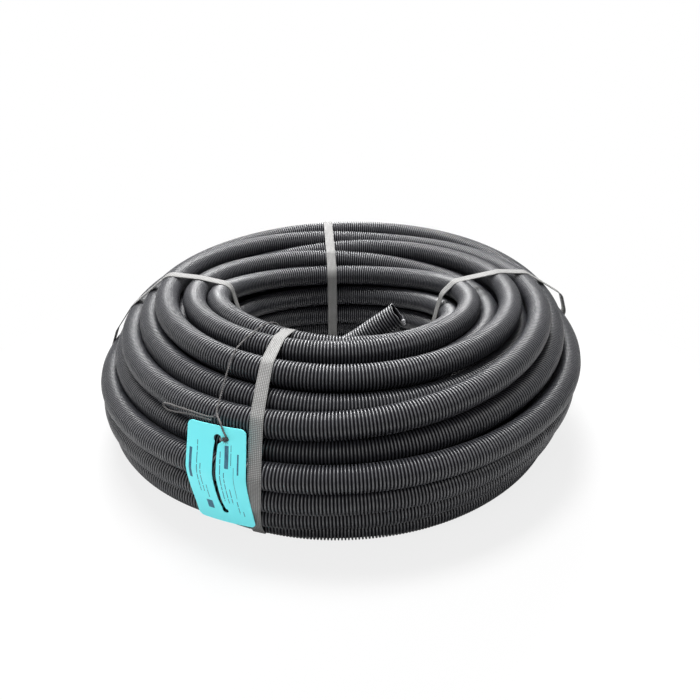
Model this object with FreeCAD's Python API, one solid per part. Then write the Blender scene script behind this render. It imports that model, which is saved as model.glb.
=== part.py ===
"""A coil of black corrugated protective conduit, tied with four straps and carrying a hang tag.

The conduit is one length of pipe, wound lying flat round an open eye. It is made as one turned
solid whose outline follows the turns that show, one round scallop for each, with the free inner
end of the pipe joined to it. That end leaves the wall of the eye, bends upward and stops at a
square cut mouth with the pipe's real bore. Four flat straps go round the bundle and lie under it,
so the coil rests on them. The tag hangs from a thin string on the outside of the coil.

Millimetres. The origin is on the floor in the middle of the eye, +Z up, and the tag hangs on the
-Y side. Azimuths are degrees anticlockwise from +X, seen from above.
"""
import FreeCAD, Part
import math
import os

# The pipe
pipe_diameter = 25.0
pipe_bore = 20.0

# The coil: each heading is the way from one turn that shows to the next, in degrees
eye_diameter = 225.0
turn_gap = 0.5
groove_height = 6.0
inner_wall_headings = (88, 93, 87, 92, 90)
top_headings = (17, -41, 42)
outer_wall_headings = (-45, -15, -78, -40, -95, -107)

# The free inner end, given by the middle of its mouth
mouth_x = 64.0
mouth_y = -80.0
mouth_z = 155.5
tail_rise = 37.0
tail_straight = 48.0
tail_lift_radius = 100.0
tail_turn_radius = 90.0

# The straps
strap_width = 12.0
strap_thickness = 0.8
strap_clearance = 0.3
strap_azimuths = {"strap_right": 7.0, "strap_back": 94.5, "strap_left": 177.0, "strap_front": 256.0}

# The hang tag, beside the front strap: it leans in, in millimetres a millimetre, off its widest height
tag_width = 56.0
tag_top = 129.0
tag_tilt = 2.2
tag_lean_above = 0.30
tag_lean_below = 0.13
tag_thickness = 0.6
tag_clearance = 0.4
tag_strap_gap = 3.8
tag_corner = 6.0
tag_hole_diameter = 6.8
tag_hole_drop = 12.0
tag_slot_width = 2.8
tag_slot_length = 74.5
tag_slot_bow = 3.2
tag_slot_end_diameter = 4.8
tag_foot = 12.0
tag_bottom = tag_top - tag_hole_drop - tag_slot_length - tag_foot

# The string and its free loop: radius, azimuth and height of each point
string_diameter = 1.8
string_route = (
    (119.3, 240.2, 128.3),
    (110.6, 240.2, 129.0),
    (109.2, 240.2, 138.5),
    (111.1, 240.3, 149.0),
    (118.4, 240.4, 156.4),
    (130.0, 240.6, 160.0),
    (148.0, 240.9, 164.6),
    (168.0, 241.4, 164.4),
    (188.0, 242.2, 162.9),
    (203.0, 243.1, 156.4),
    (218.0, 244.4, 148.0),
    (232.0, 245.5, 140.2),
    (242.4, 246.2, 133.8),
    (248.0, 247.2, 131.8),
    (253.0, 248.4, 131.8),
    (257.4, 249.3, 132.0),
    (258.4, 249.8, 125.4),
    (259.6, 250.6, 120.8),
    (261.4, 249.9, 118.2),
    (260.4, 248.9, 117.2),
    (256.6, 248.4, 117.0),
)
loop_diameter = 1.8
loop_route = (
    (248.0, 247.0, 130.5),
    (246.0, 245.4, 126.8),
    (245.0, 243.7, 125.2),
    (245.0, 241.1, 125.4),
    (245.0, 238.4, 125.0),
    (245.0, 235.5, 123.8),
    (245.0, 233.2, 122.9),
    (245.0, 231.6, 120.8),
    (244.9, 231.5, 116.8),
    (244.8, 233.0, 115.2),
    (244.8, 235.3, 117.2),
    (244.8, 237.6, 119.6),
    (244.8, 239.8, 121.4),
    (244.8, 241.9, 122.0),
    (244.9, 243.6, 122.1),
    (245.0, 245.1, 122.4),
)

# How far apart two points may be and still count as one
same_place = 0.000001

pipe_radius = pipe_diameter / 2
turn_step = pipe_diameter + turn_gap
eye_radius = eye_diameter / 2


def step(place, heading):
    """The next turn's middle in the section, one turn further on."""
    angle = math.radians(heading)
    return place[0] + turn_step * math.cos(angle), place[1] + turn_step * math.sin(angle)


def outer_turns():
    """The middles of the turns that show in the section, from the eye over the top and round."""
    floor = strap_thickness + strap_clearance + pipe_radius
    turns = [(eye_radius + pipe_radius, floor)]
    for heading in inner_wall_headings + top_headings + outer_wall_headings:
        turns.append(step(turns[-1], heading))
    drop = min(turns[-1][1] - floor, turn_step)
    turns.append((turns[-1][0] - math.sqrt(turn_step ** 2 - drop ** 2), floor))
    row = turns[-1][0] - turns[0][0]
    count = max(1, int(row / turn_step))
    for number in range(1, count):
        turns.append((turns[0][0] + row * (count - number) / count, floor))
    return turns


def section_point(radius, height):
    return FreeCAD.Vector(radius, 0, height)


def scalloped_section(turns):
    """The bundle's section: a round scallop for each turn, and a short flat between two."""
    reach = math.sqrt(pipe_radius ** 2 - groove_height ** 2)
    middles = [section_point(*turn) for turn in turns]
    flats = []
    for here, ahead in zip(middles, middles[1:] + middles[:1]):
        along = (ahead - here).normalize()
        outward = FreeCAD.Vector(-along.z, 0, along.x)
        raised = outward * groove_height
        flats.append((here + along * reach + raised, ahead - along * reach + raised, outward))
    edges = []
    for number, (start, end, outward) in enumerate(flats):
        arc_start = flats[number - 1][1]
        crest = (flats[number - 1][2] + outward).normalize() * pipe_radius
        edges.append(Part.Arc(arc_start, middles[number] + crest, start).toShape())
        edges.append(Part.LineSegment(start, end).toShape())
    return Part.Face(Part.Wire(edges))


def tail_path():
    """The middle line of the free end, from the wall of the eye to the mouth."""
    rise = math.radians(tail_rise)
    mouth = FreeCAD.Vector(mouth_x, mouth_y, mouth_z)
    along = FreeCAD.Vector(math.cos(rise), 0, math.sin(rise))
    lift_end = mouth - along * tail_straight
    lift_start = lift_end - FreeCAD.Vector(math.sin(rise), 0, 1 - math.cos(rise)) * tail_lift_radius
    half = rise / 2
    lift_middle = lift_start + FreeCAD.Vector(math.sin(half), 0, 1 - math.cos(half)) * tail_lift_radius
    turn_centre = lift_start + FreeCAD.Vector(0, tail_turn_radius, 0)
    diagonal = tail_turn_radius * math.sqrt(0.5)
    turn_middle = turn_centre + FreeCAD.Vector(-diagonal, -diagonal, 0)
    turn_start = turn_centre + FreeCAD.Vector(-tail_turn_radius, 0, 0)
    return Part.Wire([
        Part.Arc(turn_start, turn_middle, lift_start).toShape(),
        Part.Arc(lift_start, lift_middle, lift_end).toShape(),
        Part.LineSegment(lift_end, mouth).toShape(),
    ])


def tube(path, diameter):
    """A round bar along a path of lines and tangent arcs."""
    first = path.OrderedEdges[0]
    start = first.valueAt(first.FirstParameter)
    direction = first.tangentAt(first.FirstParameter)
    if start.distanceToPoint(path.OrderedVertexes[0].Point) > same_place:
        start = first.valueAt(first.LastParameter)
        direction = first.tangentAt(first.LastParameter) * -1
    ring = Part.Wire([Part.makeCircle(diameter / 2, start, direction)])
    return path.makePipeShell([ring], True, False)


def make_conduit(turns):
    """The coil and its free end as one piece, with the pipe's bore open at the mouth."""
    coil = scalloped_section(turns).revolve(FreeCAD.Vector(0, 0, 0), FreeCAD.Vector(0, 0, 1), 360)
    path = tail_path()
    return coil.fuse(tube(path, pipe_diameter)).cut(tube(path, pipe_bore)).removeSplitter()


def hull(points):
    """The outer corners of a set of section points, in order round the bundle."""
    corners = []
    for ordered in (sorted(points), sorted(points, reverse=True)):
        side = []
        for point in ordered:
            while len(side) > 1 and turn_of(side[-2], side[-1], point) <= 0:
                side.pop()
            side.append(point)
        corners += side[:-1]
    return corners


def turn_of(a, b, c):
    return (b[0] - a[0]) * (c[1] - a[1]) - (b[1] - a[1]) * (c[0] - a[0])


def band_section(turns, clearance, thickness):
    """A tight band round the bundle's section: straight from turn to turn and round the outer ones."""
    corners = [section_point(*corner) for corner in hull(turns)]
    line = Part.makePolygon(corners + corners[:1])
    inside = line.makeOffset2D(pipe_radius + clearance, 0, False, False)
    outside = line.makeOffset2D(pipe_radius + clearance + thickness, 0, False, False)
    return Part.Face(outside).cut(Part.Face(inside)).Faces[0]


def stand_at(shape, azimuth):
    """Turns a shape made in the section at azimuth 0 round the coil's axis."""
    turned = shape.copy()
    turned.rotate(FreeCAD.Vector(0, 0, 0), FreeCAD.Vector(0, 0, 1), azimuth)
    return turned


def make_band(turns, clearance, thickness, width):
    band = band_section(turns, clearance, thickness)
    band.translate(FreeCAD.Vector(0, -width / 2, 0))
    return band.extrude(FreeCAD.Vector(0, width, 0))


def tag_azimuth():
    """The tag's middle, beside the front strap on the coil's widest line."""
    widest = max(radius for radius, height in outer_turns()) + pipe_radius
    reach = strap_width / 2 + tag_strap_gap + tag_width / 2
    return strap_azimuths["strap_front"] - math.degrees(reach / widest)


def tag_supports(turns):
    """The turns, and two unseen ones that hold the stiff tag off the coil above and below."""
    widest, height = max(turns)
    above = (widest - tag_lean_above * (tag_top - height), tag_top)
    below = (widest - tag_lean_below * (height - tag_bottom), tag_bottom)
    return turns + [above, below]


def make_tag(turns):
    """A stiff bent plate on the coil's widest turn, with its hole, bowed slot and slot end."""
    widest = max(radius for radius, height in turns)
    near = widest - 2 * turn_step
    depth = 3 * turn_step
    height = tag_top - tag_bottom
    corner_box = Part.makeBox(depth, tag_width, height, FreeCAD.Vector(near, -tag_width / 2, tag_bottom))
    upright = [edge for edge in corner_box.Edges if abs(edge.tangentAt(edge.FirstParameter).x) > 0.99]
    outline = corner_box.makeFillet(tag_corner, upright)
    radial = FreeCAD.Vector(1, 0, 0)
    hole_height = tag_top - tag_hole_drop
    end_height = hole_height - tag_slot_length
    hole = Part.makeCylinder(tag_hole_diameter / 2, depth, FreeCAD.Vector(near, 0, hole_height), radial)
    end = Part.makeCylinder(tag_slot_end_diameter / 2, depth, FreeCAD.Vector(near, 0, end_height), radial)
    bow_radius = tag_slot_length ** 2 / (8 * tag_slot_bow) + tag_slot_bow / 2
    bow_centre = FreeCAD.Vector(near, bow_radius - tag_slot_bow, (hole_height + end_height) / 2)
    outer_disc = Part.makeCylinder(bow_radius + tag_slot_width / 2, depth, bow_centre, radial)
    inner_disc = Part.makeCylinder(bow_radius - tag_slot_width / 2, depth, bow_centre, radial)
    corner = FreeCAD.Vector(near, -tag_slot_bow - tag_slot_width, end_height)
    slot_box = Part.makeBox(depth, tag_slot_bow + 2 * tag_slot_width, tag_slot_length, corner)
    slot = outer_disc.cut(inner_disc).common(slot_box)
    plate = outline.cut(hole.fuse([end, slot]))
    plate.rotate(FreeCAD.Vector(near, 0, (tag_top + tag_bottom) / 2), radial, tag_tilt)
    sheet = make_band(tag_supports(turns), tag_clearance, tag_thickness, 2 * tag_width)
    return sheet.common(plate)


def route_point(place):
    radius, azimuth, height = place
    angle = math.radians(azimuth)
    return FreeCAD.Vector(radius * math.cos(angle), radius * math.sin(angle), height)


def cord_path(route):
    """Straight runs joined by tangent arcs, each as large as its two runs allow."""
    points = [route_point(place) for place in route]
    edges = []
    radii = []
    last = points[0]
    for before, corner, after in zip(points, points[1:], points[2:]):
        back = before - corner
        ahead = after - corner
        cut = 0.45 * min(back.Length, ahead.Length)
        back.normalize()
        ahead.normalize()
        half_turn = (math.pi - back.getAngle(ahead)) / 2
        radius = cut / math.tan(half_turn)
        middle_way = (back + ahead).normalize()
        nearest = corner + middle_way * (radius / math.cos(half_turn) - radius)
        arc_start = corner + back * cut
        arc_end = corner + ahead * cut
        edges.append(Part.LineSegment(last, arc_start).toShape())
        edges.append(Part.Arc(arc_start, nearest, arc_end).toShape())
        radii.append(radius)
        last = arc_end
    edges.append(Part.LineSegment(last, points[-1]).toShape())
    return Part.Wire(edges), radii


def make_cord(name, route, diameter):
    path, radii = cord_path(route)
    solid = tube(path, diameter)
    expected = math.pi * diameter ** 2 / 4 * path.Length
    print(name, "length", round(path.Length, 1), "smallest radius", round(min(radii), 1),
          "volume share", round(solid.Volume / expected, 4))
    return solid


def single_solid(shape):
    """The one solid of a shape, which a Boolean may have put in a compound."""
    if len(shape.Solids) != 1:
        print("solids:", len(shape.Solids))
    return shape.Solids[0]


def main():
    turns = outer_turns()
    nodes = {"conduit": make_conduit(turns)}
    for name, azimuth in strap_azimuths.items():
        band = make_band(turns, strap_clearance, strap_thickness, strap_width)
        nodes[name] = stand_at(band, azimuth)
    nodes["hang_tag"] = stand_at(make_tag(turns), tag_azimuth())
    nodes["tag_string"] = make_cord("tag_string", string_route, string_diameter)
    nodes["tag_string_loop"] = make_cord("tag_string_loop", loop_route, loop_diameter)
    os.makedirs("parts", exist_ok=True)
    for name, shape in nodes.items():
        solid = single_solid(shape)
        box = solid.optimalBoundingBox()
        print(name, "valid", solid.isValid(), "volume", round(solid.Volume),
              "box", [round(value, 1) for value in (box.XMin, box.YMin, box.ZMin, box.XMax, box.YMax, box.ZMax)])
        solid.exportStep("parts/" + name + ".step")


main()
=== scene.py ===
"""The looks of a coil of black corrugated conduit, tied with four straps, with a hang tag.

Sizes are millimetres in the frame of the solids until a mesh is made, which is in metres. Azimuths
are degrees anticlockwise from +X, seen from above. A place in the bundle's section is a radius and
a height.
"""
import math

import bpy
import bmesh
import numpy as np
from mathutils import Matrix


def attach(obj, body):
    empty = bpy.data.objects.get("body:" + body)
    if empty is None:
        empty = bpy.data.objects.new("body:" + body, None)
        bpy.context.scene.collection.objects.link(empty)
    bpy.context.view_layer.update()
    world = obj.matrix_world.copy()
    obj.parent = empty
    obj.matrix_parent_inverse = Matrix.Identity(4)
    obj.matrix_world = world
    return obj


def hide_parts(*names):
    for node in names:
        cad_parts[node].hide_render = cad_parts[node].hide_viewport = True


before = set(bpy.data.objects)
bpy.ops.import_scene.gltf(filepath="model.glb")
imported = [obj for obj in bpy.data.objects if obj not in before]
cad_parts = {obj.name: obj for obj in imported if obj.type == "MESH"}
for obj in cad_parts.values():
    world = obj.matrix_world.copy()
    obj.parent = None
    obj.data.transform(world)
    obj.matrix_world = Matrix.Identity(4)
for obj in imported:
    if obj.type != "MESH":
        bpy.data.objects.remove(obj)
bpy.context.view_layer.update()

MM = 0.001
rng = np.random.default_rng(11)
fray_rng = np.random.default_rng(5)

# The pipe and its ribs: where along the pitch each ring of a rib is, and its radius
PIPE_RADIUS = 12.5
GROOVE_RADIUS = 10.5
RIB_PITCH = 3.04
RIB_PROFILE = ((0.08, PIPE_RADIUS), (0.44, PIPE_RADIUS), (0.60, GROOVE_RADIUS), (0.92, GROOVE_RADIUS))
WALL = 0.6
RIBS_PER_PIECE = 1500

# A lead's ring has most of its corners on the side that faces out of the bundle, up to so many degrees
# to each side of straight out, and the rest behind
FACING_SIDES = 12
FACING_REACH = 105
BEHIND_ANGLES = (142.5, 180, 217.5)

# The coil: its passes lie at least so far apart, and their middles no lower than the floor height
PASSES_APART = 25.3
FLOOR_HEIGHT = 13.6
BUNDLE_MIDDLE = (190.0, 82.0)
SAMPLES_PER_TURN = 96
LINE_STEPS_PER_SAMPLE = 4
SETTLING_ROUNDS = 240
SETTLING_PUSH = 0.35
SETTLING_SMOOTHING = 0.25
SETTLING_PULL = 0.01
WANDER = 0.35
WANDER_WAVES = (1.7, 3.1, 5.3, 8.9)

# The leads of the pipe round the coil: azimuth, radius and height of each stop. A stop with a smaller
# azimuth than the last begins another turn
LEAD_OUTER = (
    (180, 150, 13.6), (270, 125, 15),
    (0, 171.2, 13.6), (90, 203.6, 13.6), (180, 202.6, 13.6), (270, 209.4, 13.6),
    (0, 222, 13.6), (90, 245, 37), (180, 248.5, 27), (270, 243.7, 36.1),
    (0, 252, 52), (90, 255, 87), (180, 251.9, 76), (270, 254.8, 84.8),
    (0, 260.5, 102), (90, 238.5, 134.5), (180, 224.7, 119), (270, 230.8, 120.2),
    (0, 220.9, 150.5), (45, 209, 135), (67, 200, 133), (90, 193, 141), (135, 190, 147),
    (180, 187.7, 154), (270, 187.2, 141),
    (0, 192.8, 152), (45, 180, 143.5), (90, 168, 138), (112, 169, 131.5), (180, 172, 129), (270, 169, 131),
    (0, 171, 133), (45, 157, 123.5), (67, 150, 126.5), (90, 143, 131), (135, 151, 136),
    (157, 155, 141.5), (180, 159.1, 150), (270, 151.8, 146.3),
    (0, 147, 146.5), (10, 141.5, 143.5), (22, 137.5, 133.5), (45, 135.4, 122), (67, 128.5, 118),
    (90, 122.5, 117.8), (135, 128.8, 121.5), (157, 132, 127.5), (180, 135.2, 146), (270, 125.4, 140.2),
    (302, 125, 136.8), (322, 126, 133.5), (340, 128.5, 127.5),
    (0, 137, 117.5), (7, 133.5, 115), (22, 127, 108.5), (45, 125, 97), (67, 125, 88), (90, 124.5, 86),
    (112, 125, 86.5), (135, 125, 88.5), (157, 125, 96.5), (180, 125.5, 107),
)
LEAD_BETWEEN = (
    (90, 178.2, 13.6), (180, 177, 13.6), (270, 184, 13.6),
    (0, 196.6, 13.6), (90, 229, 13.6), (180, 228, 13.6), (270, 234.8, 13.6),
    (0, 242, 28.5), (90, 252, 62), (180, 255, 51), (270, 251.7, 59.9),
    (0, 259, 76.5), (90, 250, 111), (180, 238.4, 97.5), (270, 231, 93.5),
    (0, 239.8, 131), (45, 228.5, 149), (90, 218, 150), (135, 213, 139.5), (180, 205.4, 136),
    (270, 206.5, 123),
    (0, 205, 125), (90, 210, 124), (180, 194, 113),
)
LEAD_WALL = (
    (90, 149, 104), (180, 150.5, 121), (270, 125, 114.9),
    (0, 125, 86.5), (90, 124.5, 57), (115, 125, 58), (128, 125, 62), (136, 125, 66),
    (180, 125.5, 81.5), (270, 125.5, 91.5),
    (0, 125, 61), (90, 136, 34.5), (180, 125.5, 56), (270, 125.5, 66),
    (0, 125, 35.5), (90, 150, 13.6), (180, 125.5, 30.5), (270, 125, 40.5),
    (0, 138, 13.6),
)
LEADS = {"outer": LEAD_OUTER, "between": LEAD_BETWEEN, "wall": LEAD_WALL}

# The section of the plain ring that fills the middle of the bundle, where nothing shows
CORE = ((142, 30), (142, 86), (163, 103), (182, 103), (208, 94), (226, 76), (228, 46), (214, 30))
CORE_STEPS = 96

# The free inner end of the pipe, its rough cut mouth and the sliver torn from the mouth's edge
MOUTH = (64.0, -80.0, 155.5)
TAIL_RISE = 37.0
TAIL_STRAIGHT = 48.0
TAIL_LIFT_RADIUS = 100.0
TAIL_TURN_RADIUS = 90.0
TAIL_TURN_STEPS = 40
TAIL_LIFT_STEPS = 20
TAIL_STRAIGHT_STEPS = 13
TAIL_SIDES = 28
TAIL_OPEN_DEPTH = 55.0
TAIL_FLARE = 0.4
CUT_ROUGHNESS = 0.55
CUT_FADE = 0.4
LIP_WIDTH = 3.2
LIP_THICKNESS = 0.5
LIP_ROOT = (-1.2, -0.4, 0.5)
LIP_CURL_RADIUS = 2.0
LIP_CURL = 265
LIP_STEPS = 22
LIP_REACH = -0.6
LIP_TIP_SHARE = 0.55

# How near the crest of a rib a point is goes from 0 to 1. More than 1 marks a torn edge
TORN = 1.6

# The straps: their azimuths in the eye, at the coil's outer side and at its foot, and the places where
# they stand off the bundle
STRAP_WIDTH = 12.0
STRAP_THICKNESS = 0.8
STRAP_CLEARANCE = 0.15
STRAP_STEP = 3.0
STRAP_HULL_SIDES = 96
STRAPS = {
    "strap_right": ((7.0, 7.0, 7.0), ((263.0, 108.0), (258.0, 122.0), (134.5, 131.5))),
    "strap_back": ((94.5, 94.5, 94.5), ()),
    "strap_left": ((177.0, 180.0, 180.0), ((247.0, 92.5),)),
    "strap_front": ((248.6, 256.1, 254.3), ()),
}

# A strap's section, in shares of its width and thickness: thin edges, and a flat back
STRAP_SECTION = ((-0.5, 0.7), (-0.47, 1.0), (-0.25, 1.0), (0.0, 1.0), (0.25, 1.0), (0.47, 1.0), (0.5, 0.7),
                 (0.5, 0.0), (-0.5, 0.0))
STRAP_MIDDLE_CORNER = 3

# The hang tag, in its own width and height before it is bent round the coil
TAG_AZIMUTH = 248.5
TAG_BEND_RADIUS = 258.0
TAG_WIDTH = 56.0
TAG_LENGTH = 101.0
TAG_THICKNESS = 0.6
TAG_CORNER = 5.0
TAG_TILT = 2.2
TAG_HOLE_RADIUS = 3.9
TAG_HOLE_DROP = 11.3
TAG_SLOT_WIDTH = 3.6
TAG_SLOT_LENGTH = 74.0
TAG_SLOT_BOW = 2.7
TAG_SLOT_ACROSS = 2.2
TAG_SLOT_END_RADIUS = 3.0
TAG_CORNER_STEPS = 9
TAG_HOLE_STEPS = 21
TAG_SLOT_STEPS = 65
TAG_SLOT_POWER = 5
TAG_SLOT_END_STEPS = 17
TAG_SLICE_HEIGHT = 2.0
TAG_SLICE_WIDTH = 7.0
TAG_SHARP_ANGLE = 40

# The bent plate's section, radius and height of its inner face from the bottom up, and the height of
# its middle
TAG_SECTION = ((261.6, 25), (264.3, 45), (267.4, 65), (269.0, 84), (266.8, 94), (262.2, 108), (253.8, 136))
TAG_SECTION_STEPS = 400
TAG_MIDDLE_HEIGHT = 79.8

# The plain ruled lines on the tag: place across, top, bottom, width and the gap between dashes
RULED_LINES = (
    (-23.5, 24, 52, 2.6, 0.0),
    (-17.0, 16, 66, 0.7, 1.1),
    (-13.6, 36, 66, 0.7, 1.1),
    (-10.2, 57, 72, 0.7, 1.1),
    (5.0, 22, 72, 0.7, 1.1),
    (8.6, 40, 74, 0.7, 1.1),
    (12.2, 56, 74, 0.7, 1.1),
    (14.8, 15, 34, 0.5, 1.1),
    (17.2, 34, 66, 0.35, 0.0),
    (21.0, 22, 40, 1.4, 0.0),
    (16.4, 70, 86, 0.7, 1.1),
    (20.0, 82, 88, 0.7, 0.0),
)
DASH_LENGTHS = (4, 11)

# The plain blocks on the tag: left, right, top and bottom
PLAIN_BLOCKS = ((9.0, 12.6, 16, 36), (-14.5, -8.5, 76, 86))
INK_LIFT = 0.03
INK_STEP = 1.5

# The string and its free loop: radius, azimuth and height of each point
STRING_DIAMETER = 1.8
STRING_PITCH = 4.2
STRING_ROUTE = (
    (119.3, 240.2, 128.3),
    (110.6, 240.2, 129.0),
    (109.2, 240.2, 138.5),
    (111.1, 240.3, 149.0),
    (118.4, 240.4, 156.8),
    (130.0, 240.6, 162.0),
    (148.0, 240.9, 164.4),
    (168.0, 241.4, 163.0),
    (188.0, 242.2, 162.0),
    (203.0, 243.1, 154.2),
    (218.0, 244.4, 145.2),
    (232.0, 245.5, 137.6),
    (242.4, 246.2, 132.4),
    (248.0, 247.2, 131.2),
    (253.0, 248.4, 131.8),
    (257.4, 249.3, 132.0),
    (258.4, 249.8, 125.4),
    (259.6, 250.6, 120.8),
    (261.4, 249.9, 118.2),
    (260.4, 249.15, 117.3),
    (256.6, 248.85, 117.1),
)
LOOP_DIAMETER = 1.8
LOOP_PITCH = 5.0
LOOP_ROUTE = (
    (248.0, 247.0, 130.5),
    (246.0, 245.4, 126.8),
    (245.0, 243.7, 125.2),
    (245.0, 241.1, 125.4),
    (245.0, 238.4, 125.0),
    (245.0, 235.5, 123.8),
    (245.0, 233.2, 122.9),
    (245.0, 231.6, 120.8),
    (244.9, 231.5, 116.8),
    (244.8, 233.0, 115.2),
    (244.8, 235.3, 117.2),
    (244.8, 237.6, 119.6),
    (244.8, 239.8, 121.4),
    (244.8, 241.9, 122.0),
    (244.9, 243.6, 122.1),
    (245.0, 245.1, 122.4),
)

# A cord: the steps between two points of its route, and its two strands' radius in diameters of the
# cord, step along them and sides
ROUTE_STEPS = 16
STRAND_SHARE = 0.29
STRAND_STEP = 0.45
CORD_SIDES = 8

# The knots, in shares of a knot's size, and the loose fibres at the string's knot
STRING_KNOT = (260.4, 250.4, 119.6)
STRING_KNOT_SIZE = 3.6
LOOP_KNOT_SIZE = 3.0
KNOT_SPREAD = 0.62
KNOT_DEPTH = 1.3
KNOT_STRAND = 0.24
KNOT_STEPS = 90
FRAY_FIBRES = 14
FRAY_LENGTH = 4.6
FRAY_RADIUS = 0.26
FRAY_RINGS = 7
FRAY_SIDES = 5

# The camera, from the photograph's own view, in metres, degrees and millimetres of lens
CAMERA_PLACE = (0.0147, -0.670, 0.4303)
CAMERA_TILT = 61.8
CAMERA_LENS = 32.70
CAMERA_SENSOR = 36.0

# The lights: place and size in metres, and power in watts
SOFTBOXES = {
    "back_light": ((-0.10, 1.20, 1.10), (1.2, 0.35), 42.0),
    "top_light": ((-0.10, 0.15, 1.50), (0.7, 0.4), 27.0),
    "front_light": ((-0.50, -1.50, 1.20), (1.2, 1.0), 11.0),
}
SOFTBOX_TARGET = (0, 0, 0.08)
SURROUND_LIGHT = 0.40

# The floor, in metres: its half width, and where its shadow fades to white before the camera
FLOOR_HALF_WIDTH = 6.0
FADE_START = 0.28
FADE_END = 0.50
FADE_LEAST = 0.80


def point_at(radius, azimuth, height):
    """The point, in millimetres, of a radius, an azimuth in degrees and a height."""
    angle = np.radians(azimuth)
    return np.stack(np.broadcast_arrays(radius * np.cos(angle), radius * np.sin(angle), height), axis=-1)


def unit(vectors):
    return vectors / np.linalg.norm(vectors, axis=-1, keepdims=True)


# Materials


def new_material(name):
    """A node material, its node tree and its Principled shader."""
    material = bpy.data.materials.new(name)
    material.use_nodes = True
    tree = material.node_tree
    return material, tree, tree.nodes["Principled BSDF"]


def node(tree, kind, inputs=None, **settings):
    """A node of a kind, with its settings and its sockets' values or links."""
    made = tree.nodes.new(kind)
    for key, value in settings.items():
        setattr(made, key, value)
    for key, value in (inputs or {}).items():
        if isinstance(value, bpy.types.NodeSocket):
            tree.links.new(value, made.inputs[key])
        else:
            made.inputs[key].default_value = value
    return made


def object_noise(tree, scale, detail=3.0, roughness=0.55):
    """Noise that is fixed to the object, from 0 to 1."""
    place = node(tree, "ShaderNodeTexCoord").outputs["Object"]
    made = node(tree, "ShaderNodeTexNoise", {"Vector": place, "Scale": scale, "Detail": detail,
                                             "Roughness": roughness})
    return made.outputs["Fac"]


def ramp(tree, factor, stops):
    """A colour ramp with stops of place and grey or colour."""
    made = node(tree, "ShaderNodeValToRGB", {"Fac": factor})
    elements = made.color_ramp.elements
    while len(elements) < len(stops):
        elements.new(0.5)
    for element, (place, colour) in zip(elements, stops):
        element.position = place
        if not hasattr(colour, "__len__"):
            colour = (colour, colour, colour)
        element.color = tuple(colour) + (1.0,)
    return made.outputs["Color"]


def mix(tree, factor, first, second, blend="MIX"):
    """Two colours mixed, each of them a colour or a socket."""
    made = node(tree, "ShaderNodeMix", data_type="RGBA", blend_type=blend)
    for socket, value in ((made.inputs[0], factor), (made.inputs[6], first), (made.inputs[7], second)):
        if isinstance(value, bpy.types.NodeSocket):
            tree.links.new(value, socket)
        elif hasattr(value, "__len__"):
            socket.default_value = tuple(value) + (1.0,)
        else:
            socket.default_value = value
    return made.outputs[2]


def bump(tree, shader, height, strength, distance):
    """Raises a shader's surface by a height map."""
    made = node(tree, "ShaderNodeBump", {"Height": height, "Strength": strength, "Distance": distance})
    tree.links.new(made.outputs["Normal"], shader.inputs["Normal"])


def conduit_material():
    """Black polyethylene: darker and shinier patches, dusty scuffs on the crests and a fine grain, with
    painted shade that darkens the grooves between the ribs and dims their reflection.
    """
    material, tree, shader = new_material("conduit_black")
    crest = node(tree, "ShaderNodeAttribute", attribute_name="crest").outputs["Fac"]
    cloud = object_noise(tree, 9.0)
    patches = ramp(tree, cloud, ((0.3, (0.022, 0.023, 0.028)), (0.7, (0.034, 0.035, 0.042))))
    scuffs = ramp(tree, object_noise(tree, 160.0, 5.0, 0.7), ((0.50, 0.0), (0.80, 1.0)))
    dusty = mix(tree, scuffs, patches, (0.085, 0.085, 0.090))
    # Painted shade: the grooves between the ribs, and all that is marked as groove, get a near-black colour
    # in place of the crest colour
    painted_groove_shade = ramp(tree, crest, ((0.55, 0.0), (0.98, 1.0)))
    colour = mix(tree, painted_groove_shade, (0.010, 0.010, 0.012), dusty)
    torn = node(tree, "ShaderNodeMath", {0: crest, 1: 1.0}, operation="SUBTRACT", use_clamp=True).outputs[0]
    colour = mix(tree, torn, colour, (0.30, 0.30, 0.31))
    tree.links.new(colour, shader.inputs["Base Color"])
    rough = ramp(tree, object_noise(tree, 60.0, 4.0), ((0.3, 0.36), (0.7, 0.47)))
    tree.links.new(rough, shader.inputs["Roughness"])
    bump(tree, shader, object_noise(tree, 900.0, 2.0), 0.12, 0.0003)
    # Painted shade on the reflection: the grooves get almost no specular, the crests their full specular
    gloss = ramp(tree, crest, ((0.55, 0.03), (0.98, 1.0)))
    tree.links.new(gloss, shader.inputs["Specular IOR Level"])
    shader.inputs["IOR"].default_value = 1.51
    return material


def strap_material():
    """Grey woven strapping: fine rows of small raised dots, and a little dirt."""
    material, tree, shader = new_material("strap_grey")
    place = node(tree, "ShaderNodeUVMap").outputs["UV"]
    across, along = (node(tree, "ShaderNodeTexWave", {"Vector": place, "Scale": scale, "Distortion": 0.25},
                          bands_direction=direction, wave_profile="SIN").outputs["Fac"]
                     for direction, scale in (("X", 0.19), ("Y", 0.21)))
    dots = node(tree, "ShaderNodeMath", {0: across, 1: along}, operation="MULTIPLY").outputs[0]
    base = ramp(tree, dots, ((0.05, (0.14, 0.138, 0.135)), (0.60, (0.40, 0.397, 0.39))))
    dirt = ramp(tree, object_noise(tree, 45.0, 4.0), ((0.35, 0.82), (0.7, 1.0)))
    tree.links.new(mix(tree, 1.0, base, dirt, "MULTIPLY"), shader.inputs["Base Color"])
    tree.links.new(ramp(tree, dots, ((0.1, 0.62), (0.8, 0.5))), shader.inputs["Roughness"])
    bump(tree, shader, dots, 0.5, 0.0003)
    shader.inputs["Specular IOR Level"].default_value = 0.2
    return material


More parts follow.
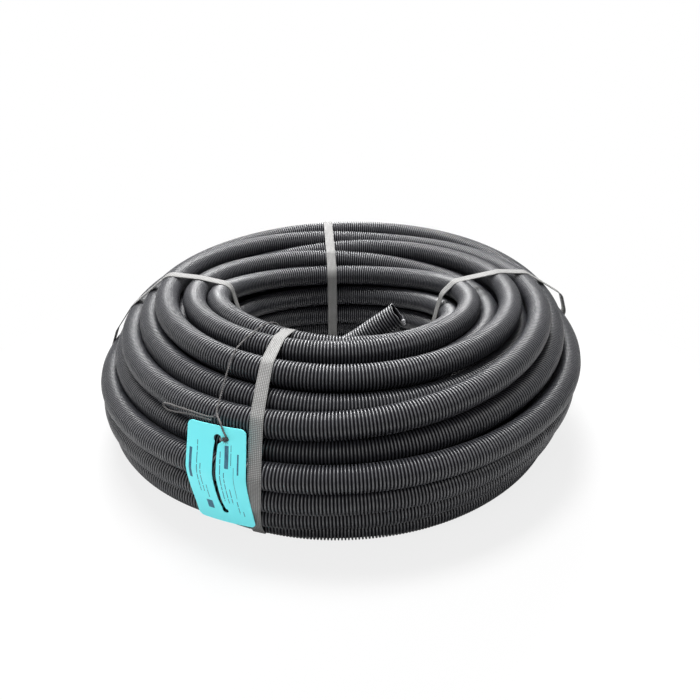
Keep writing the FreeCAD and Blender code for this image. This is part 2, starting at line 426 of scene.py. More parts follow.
def tag_material():
    """Light blue plastic film, a little uneven in its gloss."""
    material, tree, shader = new_material("tag_blue")
    colour = ramp(tree, object_noise(tree, 14.0), ((0.3, (0.18, 0.90, 0.97)), (0.7, (0.21, 0.94, 0.985))))
    tree.links.new(colour, shader.inputs["Base Color"])
    rough = ramp(tree, object_noise(tree, 70.0, 3.0), ((0.3, 0.38), (0.7, 0.5)))
    tree.links.new(rough, shader.inputs["Roughness"])
    bump(tree, shader, object_noise(tree, 350.0, 2.0), 0.05, 0.0003)
    return material


def ink_material():
    """Dark blue ink, uneven where it printed thinly."""
    material, tree, shader = new_material("tag_ink")
    colour = ramp(tree, object_noise(tree, 400.0), ((0.3, (0.02, 0.09, 0.16)), (0.75, (0.05, 0.21, 0.30))))
    tree.links.new(colour, shader.inputs["Base Color"])
    shader.inputs["Roughness"].default_value = 0.55
    return material


def string_material(name, dark, light):
    """Dark twisted string with a little fluff."""
    material, tree, shader = new_material(name)
    colour = ramp(tree, object_noise(tree, 500.0, 4.0, 0.7), ((0.35, dark), (0.75, light)))
    tree.links.new(colour, shader.inputs["Base Color"])
    shader.inputs["Roughness"].default_value = 0.8
    bump(tree, shader, object_noise(tree, 1500.0, 2.0), 0.5, 0.0002)
    return material


def floor_material():
    """A pale floor that is white to the camera but for a faint shadow near the object."""
    material, tree, shader = new_material("studio_floor")
    shader.inputs["Base Color"].default_value = (0.70, 0.70, 0.70, 1.0)
    shader.inputs["Roughness"].default_value = 0.9
    shader.inputs["Specular IOR Level"].default_value = 0.0
    white = node(tree, "ShaderNodeEmission", {"Strength": 1.0})
    place = node(tree, "ShaderNodeTexCoord").outputs["Object"]
    away = node(tree, "ShaderNodeVectorMath", {0: place}, operation="LENGTH").outputs["Value"]
    fade = node(tree, "ShaderNodeMapRange", {0: away, 1: FADE_START, 2: FADE_END, 3: FADE_LEAST, 4: 1.0})
    both = node(tree, "ShaderNodeMixShader", {0: fade.outputs[0], 1: shader.outputs[0], 2: white.outputs[0]})
    seen = node(tree, "ShaderNodeLightPath").outputs["Is Camera Ray"]
    chosen = node(tree, "ShaderNodeMixShader", {0: seen, 1: shader.outputs[0], 2: both.outputs[0]})
    tree.links.new(chosen.outputs[0], tree.nodes["Material Output"].inputs["Surface"])
    return material


# Meshes


def add_piece(name, points, faces, material, replaced=(), smooth=True):
    """A piece of the object from points in millimetres and lists of corners."""
    mesh = bpy.data.meshes.new(name)
    mesh.from_pydata((np.asarray(points) * MM).tolist(), [], faces)
    mesh.materials.append(material)
    if smooth:
        mesh.shade_smooth()
    mesh.update()
    piece = bpy.data.objects.new(name, mesh)
    bpy.context.scene.collection.objects.link(piece)
    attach(piece, "root")
    if replaced:
        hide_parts(*replaced)
    return piece


def skin_faces(rings, sides, first=0):
    """The quads between rings of corners that follow each other along a tube."""
    corner = first + np.arange(rings - 1)[:, None] * sides + np.arange(sides)[None, :]
    beside = first + np.arange(rings - 1)[:, None] * sides + (np.arange(sides)[None, :] + 1) % sides
    quads = np.stack([corner, beside, beside + sides, corner + sides], axis=-1)
    return quads.reshape(-1, 4).tolist()


def closed_faces(rings, sides):
    """The quads of a tube whose last ring meets its first."""
    faces = []
    for ring in range(rings):
        here = ring * sides
        ahead = (ring + 1) % rings * sides
        for side in range(sides):
            beside = (side + 1) % sides
            faces.append([here + side, ahead + side, ahead + beside, here + beside])
    return faces


def cap_faces(rings, sides, first=0):
    """The two flat ends of a tube."""
    start = [first + side for side in reversed(range(sides))]
    end = [first + (rings - 1) * sides + side for side in range(sides)]
    return [start, end]


class Line:
    """A smooth line in space, with a direction at each point that its rings start from."""

    def __init__(self, points, outward):
        self.points = np.asarray(points, float)
        steps = np.linalg.norm(np.diff(self.points, axis=0), axis=1)
        self.distances = np.concatenate([[0.0], np.cumsum(steps)])
        self.length = self.distances[-1]
        self.tangents = unit(np.gradient(self.points, self.distances, axis=0))
        self.outward = np.asarray(outward, float)

    def at(self, distances):
        """The points and the three directions of the line at some distances along it."""
        def read(values):
            return np.stack([np.interp(distances, self.distances, values[:, k]) for k in range(3)], axis=-1)
        tangents = unit(read(self.tangents))
        outward = read(self.outward)
        outward = unit(outward - tangents * np.sum(outward * tangents, axis=-1, keepdims=True))
        return read(self.points), tangents, outward, np.cross(tangents, outward)


def ring_points(line, distances, radii, angles):
    """Rings of corners round a line: one row of corners for each distance."""
    centres, tangents, outward, sideways = line.at(distances)
    outward_share = np.cos(angles)[None, :, None]
    sideways_share = np.sin(angles)[None, :, None]
    ring = outward_share * outward[:, None, :] + sideways_share * sideways[:, None, :]
    return centres[:, None, :] + ring * np.asarray(radii)[:, None, None]


def rib_rings(first, count):
    """How far along, how wide and how near the crest each ring of a run of ribs is."""
    starts = (first + np.arange(count)) * RIB_PITCH
    shares = np.array([share for share, radius in RIB_PROFILE])
    radii = np.array([radius for share, radius in RIB_PROFILE])
    distances = (starts[:, None] + shares[None, :] * RIB_PITCH).ravel()
    crest = (radii == PIPE_RADIUS).astype(float)
    return distances, np.tile(radii, count), np.tile(crest, count)


def mark_crests(piece, values):
    """Keeps on each point how near the crest of a rib it is, for the material, which paints shade where it
    is low.
    """
    attribute = piece.data.attributes.new("crest", "FLOAT", "POINT")
    attribute.data.foreach_set("value", np.asarray(values, dtype=np.float32))


# The coil


def smooth_way(places, stops, at):
    """A smooth way through stops, read at some places along it."""
    places = np.asarray(places, float)
    stops = np.asarray(stops, float)
    slopes = np.gradient(stops, places, axis=0)
    index = np.clip(np.searchsorted(places, at, "right") - 1, 0, len(places) - 2)
    run = (places[index + 1] - places[index])[:, None]
    t = (at - places[index])[:, None] / run
    start, end = stops[index], stops[index + 1]
    leave, arrive = slopes[index] * run, slopes[index + 1] * run
    return start + t * (leave + t * (3 * (end - start) - 2 * leave - arrive
                                     + t * (2 * (start - end) + leave + arrive)))


def stop_places(stops):
    """Each stop's azimuth, where a smaller one than the last begins another turn."""
    places = []
    for azimuth, radius, height in stops:
        while places and azimuth < places[-1]:
            azimuth += 360
        places.append(azimuth)
    return np.array(places)


def wander(count):
    """A slow uneven drift along a lead, a little in radius and a little in height."""
    place = np.arange(count)[:, None] / SAMPLES_PER_TURN
    drift = np.zeros((count, 2))
    for waves in WANDER_WAVES:
        phase = rng.uniform(0, 2 * np.pi, 2)
        drift += WANDER / waves ** 0.5 * np.sin(2 * np.pi * waves * place + phase)
    return drift


def settled(ways, starts):
    """Moves the passes at each azimuth apart where they come too close, and off the floor."""
    sizes = [len(way) for way in ways]
    places = np.concatenate(ways)
    wanted = places.copy()
    spokes = np.concatenate([start + np.arange(size) for start, size in zip(starts, sizes)])
    groups = [np.flatnonzero(spokes % SAMPLES_PER_TURN == spoke) for spoke in range(SAMPLES_PER_TURN)]
    most = max(len(group) for group in groups)
    table = np.array([list(group) + [-1] * (most - len(group)) for group in groups])
    present = table >= 0
    pairs = present[:, :, None] & present[:, None, :] & ~np.eye(most, dtype=bool)
    inner = np.ones(len(places), bool)
    inner[np.cumsum(sizes) - 1] = False
    inner[np.cumsum(sizes) - np.array(sizes)] = False
    inner = np.flatnonzero(inner)
    for settling_round in range(SETTLING_ROUNDS):
        here = places[table]
        gap = here[:, :, None] - here[:, None, :]
        distance = np.linalg.norm(gap, axis=3)
        short = np.where(pairs, np.clip(PASSES_APART - distance, 0, None), 0)
        push = (gap / np.maximum(distance, 0.001)[..., None] * short[..., None]).sum(axis=2) * SETTLING_PUSH
        places[table[present]] += push[present]
        places[inner] += SETTLING_SMOOTHING * (places[inner - 1] + places[inner + 1] - 2 * places[inner])
        places += SETTLING_PULL * (wanted - places)
        places[:, 1] = np.maximum(places[:, 1], FLOOR_HEIGHT)
    ends = np.cumsum(sizes)
    return [places[end - size:end] for end, size in zip(ends, sizes)]


def lead_ways():
    """Each lead's radius and height at every spoke of the coil, after settling."""
    spokes_apart = 360 / SAMPLES_PER_TURN
    ways = []
    starts = []
    for stops in LEADS.values():
        places = stop_places(stops)
        at = np.arange(places[0], places[-1] + spokes_apart / 2, spokes_apart)
        way = smooth_way(places, np.array(stops)[:, 1:], at)
        ways.append(way + wander(len(way)))
        starts.append(round(places[0] / spokes_apart))
    return dict(zip(LEADS, settled(ways, starts)))


def lead_line(start, way):
    """A lead as a line in space, its rings starting on the side away from the bundle's middle."""
    at = np.linspace(0, len(way) - 1, (len(way) - 1) * LINE_STEPS_PER_SAMPLE + 1)
    way = smooth_way(np.arange(len(way)), way, at)
    azimuths = start + at * 360 / SAMPLES_PER_TURN
    aside = unit(way - np.array(BUNDLE_MIDDLE))
    return Line(point_at(way[:, 0], azimuths, way[:, 1]), point_at(aside[:, 0], azimuths, aside[:, 1]))


def passes_at(ways, azimuth):
    """The radius and height of every pass of the pipe at an azimuth."""
    found = []
    for name, stops in LEADS.items():
        way = ways[name]
        place = (azimuth - stops[0][0]) % 360 * SAMPLES_PER_TURN / 360
        while place <= len(way) - 1:
            index = min(int(place), len(way) - 2)
            share = place - index
            found.append(tuple(way[index] * (1 - share) + way[index + 1] * share))
            place += SAMPLES_PER_TURN
    return found


def build_leads(ways, material):
    """The ribbed pipe of each lead, cut into pieces of even length."""
    facing = np.linspace(-FACING_REACH, FACING_REACH, FACING_SIDES)
    angles = np.radians(np.concatenate([facing, BEHIND_ANGLES]))
    for name, stops in LEADS.items():
        line = lead_line(stops[0][0], ways[name])
        ribs = int(line.length / RIB_PITCH) - 1
        parts = math.ceil(ribs / RIBS_PER_PIECE)
        cuts = [round(ribs * part / parts) for part in range(parts + 1)]
        for part, (first, last) in enumerate(zip(cuts, cuts[1:])):
            distances, radii, crest = rib_rings(first, last - first)
            points = ring_points(line, distances, radii, angles).reshape(-1, 3)
            rings = len(distances)
            faces = skin_faces(rings, len(angles)) + cap_faces(rings, len(angles))
            title = f"conduit_{name}_{part + 1}"
            piece = add_piece(title, points, faces, material, ["conduit"])
            mark_crests(piece, np.repeat(crest, len(angles)))


def build_core(material):
    """The hidden middle of the bundle, a plain ring."""
    azimuths = np.linspace(0, 360, CORE_STEPS, endpoint=False)
    section = np.array(CORE, float)
    points = point_at(section[None, :, 0], azimuths[:, None], section[None, :, 1]).reshape(-1, 3)
    faces = closed_faces(CORE_STEPS, len(CORE))
    piece = add_piece("conduit_hidden_middle", points, faces, material, ["conduit"],
                      smooth=False)
    # Marked as groove all over, so the hidden ring takes the painted groove shade
    mark_crests(piece, np.zeros(len(points)))


def tail_line(way):
    """The free end: off the wall of the eye, round, up and straight to the mouth."""
    rise = math.radians(TAIL_RISE)
    along = np.array([math.cos(rise), 0, math.sin(rise)])
    mouth = np.array(MOUTH)
    lift_end = mouth - along * TAIL_STRAIGHT
    lift_start = lift_end - np.array([math.sin(rise), 0, 1 - math.cos(rise)]) * TAIL_LIFT_RADIUS
    centre = lift_start + np.array([0, TAIL_TURN_RADIUS, 0])
    turn = np.linspace(math.pi, 1.5 * math.pi, TAIL_TURN_STEPS)
    round_part = centre + TAIL_TURN_RADIUS * np.stack([np.cos(turn), np.sin(turn), 0 * turn], axis=-1)
    wall_height = way[-1][1]
    fall = 0.5 + 0.5 * np.cos(np.linspace(0, np.pi, len(turn)))
    round_part[:, 2] += (wall_height - lift_start[2]) * fall
    lift = np.linspace(0, rise, TAIL_LIFT_STEPS)[1:]
    lift_part = lift_start + TAIL_LIFT_RADIUS * np.stack([np.sin(lift), 0 * lift, 1 - np.cos(lift)], axis=-1)
    straight_part = lift_end + along * np.linspace(0, TAIL_STRAIGHT, TAIL_STRAIGHT_STEPS)[1:, None]
    points = np.vstack([round_part, lift_part, straight_part])
    outward = np.tile([0.0, 0.0, 1.0], (len(points), 1))
    return Line(points, outward)


def build_tail(way, material):
    """The free end's ribbed wall, outside and inside, with a rough cut mouth."""
    line = tail_line(way)
    angles = np.linspace(0, 2 * np.pi, TAIL_SIDES, endpoint=False)
    ribs = int(line.length / RIB_PITCH)
    distances, radii, crest = (values[:-2] for values in rib_rings(0, ribs))
    distances += line.length - distances[-1]
    radii[-1] += TAIL_FLARE
    deep = distances > line.length - TAIL_OPEN_DEPTH
    inside = np.flatnonzero(deep)[::-1]
    all_distances = np.concatenate([distances, distances[inside]])
    all_radii = np.concatenate([radii, radii[inside] - WALL])
    crest[-1] = TORN
    # The inside wall is marked as groove but for its cut edge, so it takes the painted groove shade
    all_crest = np.concatenate([crest, crest[inside] * (distances[inside] == line.length)])
    points = ring_points(line, all_distances, all_radii, angles)
    tangents = line.at(all_distances)[1]
    jagged = rng.normal(0, CUT_ROUGHNESS, TAIL_SIDES)
    edge = len(distances) - 1
    for ring, share in ((edge - 1, CUT_FADE), (edge, 1.0), (edge + 1, 1.0), (edge + 2, CUT_FADE)):
        points[ring] += tangents[ring] * (jagged * share)[:, None]
    rings = len(all_distances)
    faces = skin_faces(rings, TAIL_SIDES) + cap_faces(rings, TAIL_SIDES)
    points = points.reshape(-1, 3)
    piece = add_piece("conduit_free_end", points, faces, material, ["conduit"])
    mark_crests(piece, np.repeat(all_crest, TAIL_SIDES))
    build_lip(line, material)


def build_lip(line, material):
    """The torn sliver that curls inwards at the low side of the mouth."""
    mouth, tangent, outward, sideways = (values[0] for values in line.at([line.length]))
    rim = PIPE_RADIUS - WALL / 2
    curl = np.linspace(0, math.radians(LIP_CURL), LIP_STEPS)
    along = np.concatenate([LIP_ROOT, LIP_REACH + LIP_CURL_RADIUS * np.sin(curl)])
    away = np.concatenate([[rim] * len(LIP_ROOT), rim - LIP_CURL_RADIUS * (1 - np.cos(curl))])
    points = mouth + along[:, None] * tangent - away[:, None] * outward
    path = Line(points, np.tile(sideways, (len(points), 1)))
    centres, forward, across, depth = path.at(path.distances)
    narrowing = np.linspace(1.0, LIP_TIP_SHARE, len(points))[:, None]
    corners = []
    for side, face in ((-0.5, -0.5), (0.5, -0.5), (0.5, 0.5), (-0.5, 0.5)):
        corners.append(centres + across * side * LIP_WIDTH * narrowing + depth * face * LIP_THICKNESS)
    points = np.stack(corners, axis=1).reshape(-1, 3)
    faces = skin_faces(len(centres), len(corners)) + cap_faces(len(centres), len(corners))
    piece = add_piece("conduit_torn_lip", points, faces, material, ["conduit"],
                      smooth=False)
    mark_crests(piece, np.full(len(points), TORN))


# The straps and the tag


def turn_of(a, b, c):
    """More than 0 where three places in a row turn left."""
    return (b[0] - a[0]) * (c[1] - a[1]) - (b[1] - a[1]) * (c[0] - a[0])


def hull_line(middles, reach):
    """The closed line of a tight band round circles in the section, and its outward directions."""
    angles = np.linspace(0, 2 * np.pi, STRAP_HULL_SIDES, endpoint=False)
    points = []
    for middle in middles:
        points += [(middle[0] + reach * math.cos(angle), middle[1] + reach * math.sin(angle))
                   for angle in angles]
    corners = []
    for ordered in (sorted(points), sorted(points, reverse=True)):
        side = []
        for point in ordered:
            while len(side) > 1 and turn_of(side[-2], side[-1], point) <= 0:
                side.pop()
            side.append(point)
        corners += side[:-1]
    line = []
    for here, ahead in zip(corners, corners[1:] + corners[:1]):
        here = np.array(here)
        ahead = np.array(ahead)
        steps = max(1, math.ceil(np.linalg.norm(ahead - here) / STRAP_STEP))
        line += [here + (ahead - here) * step / steps for step in range(steps)]
    line = np.array(line)
    along = unit(np.roll(line, -1, axis=0) - np.roll(line, 1, axis=0))
    return line, np.stack([along[:, 1], -along[:, 0]], axis=-1)


def build_strap(name, azimuths, stand_offs, ways, material):
    """A flat strap round the bundle, over the passes that stand out and where it stands off them."""
    in_eye, outside, at_foot = azimuths
    passes = passes_at(ways, outside) + list(stand_offs)
    line, outward = hull_line(passes, PIPE_RADIUS + STRAP_CLEARANCE)
    inner_radius = line[:, 0].min()
    outer_radius = line[:, 0].max()
    share = (line[:, 0] - inner_radius) / (outer_radius - inner_radius)
    widest = line[np.argmax(line[:, 0]), 1]
    fallen = np.clip(1 - line[:, 1] / widest, 0, 1)
    azimuth = in_eye + share * (outside - in_eye)
    azimuth += share * fallen * (at_foot - outside)
    angle = np.radians(azimuth)
    sideways = np.stack([-np.sin(angle), np.cos(angle), 0 * angle], axis=-1)
    rows = []
    for width_share, lift_share in STRAP_SECTION:
        across = width_share * STRAP_WIDTH
        lift = lift_share * STRAP_THICKNESS
        place = line + outward * lift
        rows.append(point_at(place[:, 0], azimuth, place[:, 1]) + sideways * across)
    points = np.stack(rows, axis=1)
    faces = closed_faces(*points.shape[:2])
    piece = add_piece(name + "_band", points.reshape(-1, 3), faces, material, [name])
    lay_weave(piece, points)


def lay_weave(piece, points):
    """Lays the weave's map on a strap, in millimetres across it and along it."""
    rings, sides = points.shape[:2]
    steps = np.linalg.norm(np.diff(points[:, STRAP_MIDDLE_CORNER], axis=0), axis=1)
    run = np.concatenate([[0.0], np.cumsum(steps)])
    length = run[-1] + steps[0]
    layer = piece.data.uv_layers.new(name="weave")
    for polygon in piece.data.polygons:
        wraps = polygon.index // sides == rings - 1
        for loop in polygon.loop_indices:
            ring, side = divmod(piece.data.loops[loop].vertex_index, sides)
            along = length if wraps and ring == 0 else run[ring]
            layer.data[loop].uv = (STRAP_SECTION[side][0] * STRAP_WIDTH, along)


class TagSurface:
    """The bent sheet that the tag lies in, from its width and the distance from its top edge."""

    def __init__(self):
        corners = np.array(TAG_SECTION)
        at = np.linspace(0, len(corners) - 1, TAG_SECTION_STEPS)
        line = smooth_way(np.arange(len(corners)), corners, at)[::-1]
        steps = np.linalg.norm(np.diff(line, axis=0), axis=1)
        run = np.concatenate([[0.0], np.cumsum(steps)])
        middle = np.interp(-TAG_MIDDLE_HEIGHT, -line[:, 1], run)
        self.drops = run - middle + TAG_LENGTH / 2
        self.section = line
        self.down = unit(np.gradient(line, axis=0))

    def at(self, across, drop, lift):
        """Points of the tag, millimetres from its middle line, its top edge and its inner face."""
        tilt = math.radians(TAG_TILT)
        below = drop - TAG_LENGTH / 2
        turned = across * math.cos(tilt) + below * math.sin(tilt)
        drop = TAG_LENGTH / 2 + below * math.cos(tilt) - across * math.sin(tilt)
        radius = np.interp(drop, self.drops, self.section[:, 0])
        height = np.interp(drop, self.drops, self.section[:, 1])
        down = unit(np.stack([np.interp(drop, self.drops, self.down[:, k]) for k in range(2)], axis=-1))
        radius = radius - down[..., 1] * lift
        height = height + down[..., 0] * lift
        return point_at(radius, TAG_AZIMUTH + np.degrees(turned / TAG_BEND_RADIUS), height)


def round_end(first, last, middle_height, radius, steps):
    """The points of a round end of the slot, clockwise from one side of the slot to the other."""
    start = math.atan2(first[1] - middle_height, first[0])
    stop = math.atan2(last[1] - middle_height, last[0])
    if stop > start:
        stop -= 2 * math.pi
    return [(radius * math.cos(angle), middle_height + radius * math.sin(angle))
            for angle in np.linspace(start, stop, steps)[1:-1]]


def tag_outline():
    """The tag's outline, and its hole with the bowed slot that ends in a smaller hole."""
    half = TAG_WIDTH / 2
    outline = []
    for side, end, start in ((1, 0, 0), (-1, 0, 90), (-1, 1, 180), (1, 1, 270)):
        middle_x = side * (half - TAG_CORNER)
        middle_y = TAG_CORNER - TAG_LENGTH if end else -TAG_CORNER
        for angle in np.radians(np.linspace(start, start + 90, TAG_CORNER_STEPS)):
            outline.append((middle_x + TAG_CORNER * math.cos(angle),
                            middle_y + TAG_CORNER * math.sin(angle)))
    top = -TAG_HOLE_DROP
    bottom = top - TAG_SLOT_LENGTH
    left = []
    right = []
    for share in np.linspace(0.0, 1.0, TAG_SLOT_STEPS):
        middle = -TAG_SLOT_BOW * (1 - abs(2 * share - 1) ** TAG_SLOT_POWER)
        height = top + (bottom - top) * share
        if top - height >= TAG_HOLE_RADIUS and height - bottom >= TAG_SLOT_END_RADIUS:
            left.append((middle - TAG_SLOT_WIDTH / 2, height))
            right.append((middle + TAG_SLOT_WIDTH / 2, height))
    slot = round_end(left[0], right[0], top, TAG_HOLE_RADIUS, TAG_HOLE_STEPS) + right
    slot += round_end(right[-1], left[-1], bottom, TAG_SLOT_END_RADIUS, TAG_SLOT_END_STEPS) + left[::-1]
    return outline, [(across + TAG_SLOT_ACROSS, height) for across, height in slot]


def filled_sheet(loops, thickness):
    """A flat sheet with holes as a mesh, from closed outlines in millimetres."""
    curve = bpy.data.curves.new("sheet_outline", "CURVE")
    curve.dimensions = "2D"
    curve.fill_mode = "BOTH"
    curve.extrude = thickness / 2
    for loop in loops:
        spline = curve.splines.new("POLY")
        spline.points.add(len(loop) - 1)
        for point, place in zip(spline.points, loop):
            point.co = (place[0], place[1], 0, 1)
        spline.use_cyclic_u = True
    holder = bpy.data.objects.new("sheet_outline", curve)
    bpy.context.scene.collection.objects.link(holder)
    mesh = bpy.data.meshes.new_from_object(holder)
    bpy.data.objects.remove(holder)
    bpy.data.curves.remove(curve)
    return mesh


def sliced(mesh, axis, step, low, high):
    """Cuts a mesh across at even steps, so that it can bend there."""
    shape = bmesh.new()
    shape.from_mesh(mesh)
    bmesh.ops.remove_doubles(shape, verts=shape.verts, dist=0.001)
    normal = [0, 0, 0]
    normal[axis] = 1
    for place in np.arange(low + step, high, step):
        at = [0, 0, 0]
        at[axis] = place
        everything = list(shape.verts) + list(shape.edges) + list(shape.faces)
        bmesh.ops.bisect_plane(shape, geom=everything, plane_co=at, plane_no=normal)
    bmesh.ops.recalc_face_normals(shape, faces=shape.faces)
    shape.to_mesh(mesh)
    shape.free()


def build_tag(material):
    """The tag's sheet, cut across so that it bends, and laid in its bent surface."""
    surface = TagSurface()
    mesh = filled_sheet(tag_outline(), TAG_THICKNESS)
    sliced(mesh, 1, TAG_SLICE_HEIGHT, -TAG_LENGTH, 0.0)
    sliced(mesh, 0, TAG_SLICE_WIDTH, -TAG_WIDTH / 2, TAG_WIDTH / 2)
    flat = np.array([vertex.co[:] for vertex in mesh.vertices])
    points = surface.at(flat[:, 0], -flat[:, 1], flat[:, 2] + TAG_THICKNESS / 2)
    faces = [list(polygon.vertices) for polygon in mesh.polygons]
    bpy.data.meshes.remove(mesh)
    piece = add_piece("tag_sheet", points, faces, material, ["hang_tag"])
    piece.data.set_sharp_from_angle(angle=math.radians(TAG_SHARP_ANGLE))
    return surface


def build_print(surface, material):
    """Plain ruled lines and blocks along the tag, where such a tag is printed."""
    bars = []
    for across, top, bottom, width, gap in RULED_LINES:
        place = top
        while place < bottom:
            run = min(bottom - place, rng.uniform(*DASH_LENGTHS)) if gap else bottom - top
            bars.append((across - width / 2, across + width / 2, place, place + run))
            place += run + gap
    bars += PLAIN_BLOCKS
    points = []
    faces = []
    lift = TAG_THICKNESS + INK_LIFT
    for left, right, top, bottom in bars:
        rows = max(2, math.ceil((bottom - top) / INK_STEP) + 1)
        first = len(points)
        for drop in np.linspace(top, bottom, rows):
            points.append(surface.at(np.array(left), np.array(drop), np.array(lift)))
            points.append(surface.at(np.array(right), np.array(drop), np.array(lift)))
        for row in range(rows - 1):
            corner = first + 2 * row
            faces.append([corner, corner + 2, corner + 3, corner + 1])
    add_piece("tag_ruled_lines", np.array(points), faces, material, ["hang_tag"])


# The string


def route_line(name, route):
    """The points along the smooth curve of a cord's route, in millimetres."""
    curve = bpy.data.curves.new(name, "CURVE")
    curve.dimensions = "3D"
    curve.resolution_u = ROUTE_STEPS
    spline = curve.splines.new("NURBS")
    spline.points.add(len(route) - 1)
    for point, place in zip(spline.points, route):
        point.co = tuple(point_at(*place) * MM) + (1.0,)
    spline.order_u = 3
    spline.use_endpoint_u = True
    holder = bpy.data.objects.new(name, curve)
    bpy.context.scene.collection.objects.link(holder)
    mesh = bpy.data.meshes.new_from_object(holder)
    points = np.array([vertex.co[:] for vertex in mesh.vertices]) / MM
    bpy.data.objects.remove(holder)
    bpy.data.curves.remove(curve)
    bpy.data.meshes.remove(mesh)
    return points


def steady_outward(points):
    """A direction across a line at each point that turns as little as it can."""
    tangents = unit(np.gradient(points, axis=0))
    across = np.cross(tangents[0], [0.0, 0.0, 1.0])
    if np.linalg.norm(across) < 0.1:
        across = np.cross(tangents[0], [1.0, 0.0, 0.0])
    found = []
    for tangent in tangents:
        across = across - tangent * np.dot(across, tangent)
        across = across / np.linalg.norm(across)
        found.append(across)
    return np.array(found)


def twisted(line, diameter, pitch):
    """Two strands laid round each other along a line, as corners and faces."""
    strand = diameter * STRAND_SHARE
    orbit = diameter / 2 - strand
    count = int(line.length / STRAND_STEP) + 1
    distances = np.linspace(0, line.length, count)
    centres, tangents, outward, sideways = line.at(distances)
    angles = np.linspace(0, 2 * np.pi, CORD_SIDES, endpoint=False)
    points = []
    faces = []
    for turn in (0.0, np.pi):
        phase = 2 * np.pi * distances / pitch + turn
        away = np.cos(phase)[:, None] * outward + np.sin(phase)[:, None] * sideways
        middles = centres + away * orbit
        strand_line = Line(middles, away)
        rings = ring_points(strand_line, strand_line.distances, np.full(count, strand), angles)
        first = sum(len(group) for group in points)
        points.append(rings.reshape(-1, 3))
        faces += skin_faces(count, CORD_SIDES, first) + cap_faces(count, CORD_SIDES, first)
    return np.vstack(points), faces


def build_cord(name, route, diameter, pitch, material, replaced):
    """A twisted cord along its route. Returns its middle line."""
    points = route_line(name, route)
    line = Line(points, steady_outward(points))
    corners, faces = twisted(line, diameter, pitch)
    piece = add_piece(name, corners, faces, material, [replaced])
    tuple(point_at(*route[0]) * MM)
    return line


def build_knot(name, centre, size, material, replaced):
    """A small tight knot: one strand wound over itself."""
    t = np.linspace(0, 2 * np.pi, KNOT_STEPS, endpoint=False)
    across = np.sin(t) + 2 * np.sin(2 * t)
    along = np.cos(t) - 2 * np.cos(2 * t)
    ring = np.stack([across, along, -KNOT_DEPTH * np.sin(3 * t)], axis=-1)
    points = np.asarray(centre) + ring / 3 * size * KNOT_SPREAD
    line = Line(points, steady_outward(points))
    angles = np.linspace(0, 2 * np.pi, CORD_SIDES, endpoint=False)
    rings = ring_points(line, line.distances, np.full(KNOT_STEPS, size * KNOT_STRAND), angles)
    faces = skin_faces(KNOT_STEPS, CORD_SIDES) + cap_faces(KNOT_STEPS, CORD_SIDES)
    add_piece(name, rings.reshape(-1, 3), faces, material, [replaced])


def build_fray(name, centre, material, replaced):
    """Loose fibres that stand out of a knot, away from the plate behind it."""
    centre = np.asarray(centre)
    upward = np.array([0.0, 0.0, 1.0])
    away = unit(centre * [1, 1, 0])
    sideways = np.array([-away[1], away[0], 0.0])
    angles = np.linspace(0, 2 * np.pi, FRAY_SIDES, endpoint=False)
    share = np.linspace(0, 1, FRAY_RINGS)[:, None]
    thinning = np.linspace(1.0, 0.4, FRAY_RINGS)
    points = []
    faces = []
    for fibre in range(FRAY_FIBRES):
        turn = 2 * np.pi * fibre / FRAY_FIBRES + fray_rng.uniform(-0.4, 0.4)
        lean = fray_rng.uniform(0.15, 0.6)
        heading = unit(np.cos(turn) * sideways + np.sin(turn) * upward + lean * away)
        droop = fray_rng.uniform(0.0, 0.9)
        length = fray_rng.uniform(0.6, 1.0) * FRAY_LENGTH
        middles = centre + share * length * heading - share ** 2 * droop * upward
        line = Line(middles, steady_outward(middles))
        rings = ring_points(line, line.distances, FRAY_RADIUS * thinning, angles)
        first = fibre * FRAY_RINGS * FRAY_SIDES
        faces += skin_faces(FRAY_RINGS, FRAY_SIDES, first) + cap_faces(FRAY_RINGS, FRAY_SIDES, first)
        points.append(rings.reshape(-1, 3))
    add_piece(name, np.vstack(points), faces, material, [replaced])


# The studio


def build_world():
    """White before the camera, and a soft light that is darker from the front for everything else."""
    world = bpy.data.worlds.new("studio_world")
    world.use_nodes = True
    tree = world.node_tree
    back = tree.nodes["Background"]
    rays = node(tree, "ShaderNodeLightPath")
    seen = rays.outputs["Is Camera Ray"]
    for kind in ("Is Glossy Ray", "Is Transmission Ray"):
        seen = node(tree, "ShaderNodeMath", {0: seen, 1: rays.outputs[kind]}, operation="MAXIMUM").outputs[0]
    level = node(tree, "ShaderNodeMapRange", {0: seen, 3: SURROUND_LIGHT, 4: 1.0})
    tree.links.new(level.outputs[0], back.inputs["Strength"])
    direction = node(tree, "ShaderNodeTexCoord").outputs["Generated"]
    parts = node(tree, "ShaderNodeSeparateXYZ", {0: direction})
    behind = node(tree, "ShaderNodeMath", {0: parts.outputs["Y"], 1: 0.5, 2: 0.5}, operation="MULTIPLY_ADD")
    shade = ramp(tree, behind.outputs[0], ((0.03, 0.12), (0.45, 0.75), (0.85, 1.0)))
    plain = mix(tree, rays.outputs["Is Camera Ray"], shade, (1.0, 1.0, 1.0))
    tree.links.new(plain, back.inputs["Color"])
    return world


def add_floor():
    """A wide square floor at the height that the coil lies on."""
    half = FLOOR_HALF_WIDTH
    corners = [(-half, -half, 0), (half, -half, 0), (half, half, 0), (-half, half, 0)]
    mesh = bpy.data.meshes.new("studio_floor")
    mesh.from_pydata(corners, [], [[0, 1, 2, 3]])
    mesh.materials.append(floor_material())
    floor = bpy.data.objects.new("studio_floor", mesh)
    bpy.context.scene.collection.objects.link(floor)


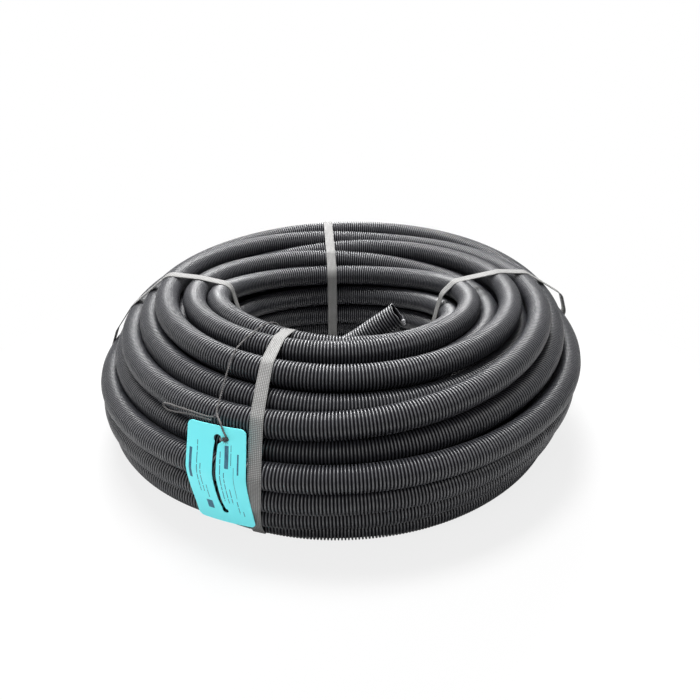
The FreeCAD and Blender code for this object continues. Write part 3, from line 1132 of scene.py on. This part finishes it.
def add_softbox(name, place, size, power):
    """A rectangular lamp that faces the object."""
    light = bpy.data.lights.new(name, "AREA")
    light.shape = "RECTANGLE"
    light.size, light.size_y = size
    light.energy = power
    holder = bpy.data.objects.new(name, light)
    holder.location = place
    aim = np.array(SOFTBOX_TARGET) - np.array(place)
    flat = math.hypot(aim[0], aim[1])
    holder.rotation_euler = (math.atan2(flat, -aim[2]), 0, math.atan2(aim[1], aim[0]) - math.pi / 2)
    bpy.context.scene.collection.objects.link(holder)


def add_camera():
    camera = bpy.data.cameras.new("camera")
    camera.lens = CAMERA_LENS
    camera.sensor_width = CAMERA_SENSOR
    holder = bpy.data.objects.new("camera", camera)
    holder.location = CAMERA_PLACE
    holder.rotation_euler = (math.radians(CAMERA_TILT), 0, 0)
    bpy.context.scene.collection.objects.link(holder)
    bpy.context.scene.camera = holder


def build_studio():
    bpy.context.scene.view_settings.view_transform = "Standard"
    bpy.context.scene.world = build_world()
    add_floor()
    for name, (place, size, power) in SOFTBOXES.items():
        add_softbox(name, place, size, power)
    add_camera()


def build_string():
    """The string, its free loop and their knots."""
    clean = string_material("string_dark", (0.070, 0.066, 0.066), (0.19, 0.182, 0.18))
    soiled = string_material("string_soiled", (0.018, 0.016, 0.020), (0.08, 0.074, 0.078))
    build_cord("string_strands", STRING_ROUTE, STRING_DIAMETER, STRING_PITCH, clean, "tag_string")
    loop = build_cord("loop_strands", LOOP_ROUTE, LOOP_DIAMETER, LOOP_PITCH, clean, "tag_string_loop")
    knot_place = point_at(*STRING_KNOT)
    build_knot("string_knot", knot_place, STRING_KNOT_SIZE, soiled, "tag_string")
    build_fray("string_fray", knot_place, soiled, "tag_string")
    build_knot("loop_knot", loop.points[0], LOOP_KNOT_SIZE, soiled, "tag_string_loop")


def build_all():
    build_studio()
    build_string()
    ways = lead_ways()
    black = conduit_material()
    build_leads(ways, black)
    build_core(black)
    build_tail(ways["outer"], black)
    grey = strap_material()
    for name, (azimuths, stand_offs) in STRAPS.items():
        build_strap(name, azimuths, stand_offs, ways, grey)
    surface = build_tag(tag_material())
    build_print(surface, ink_material())


build_all()
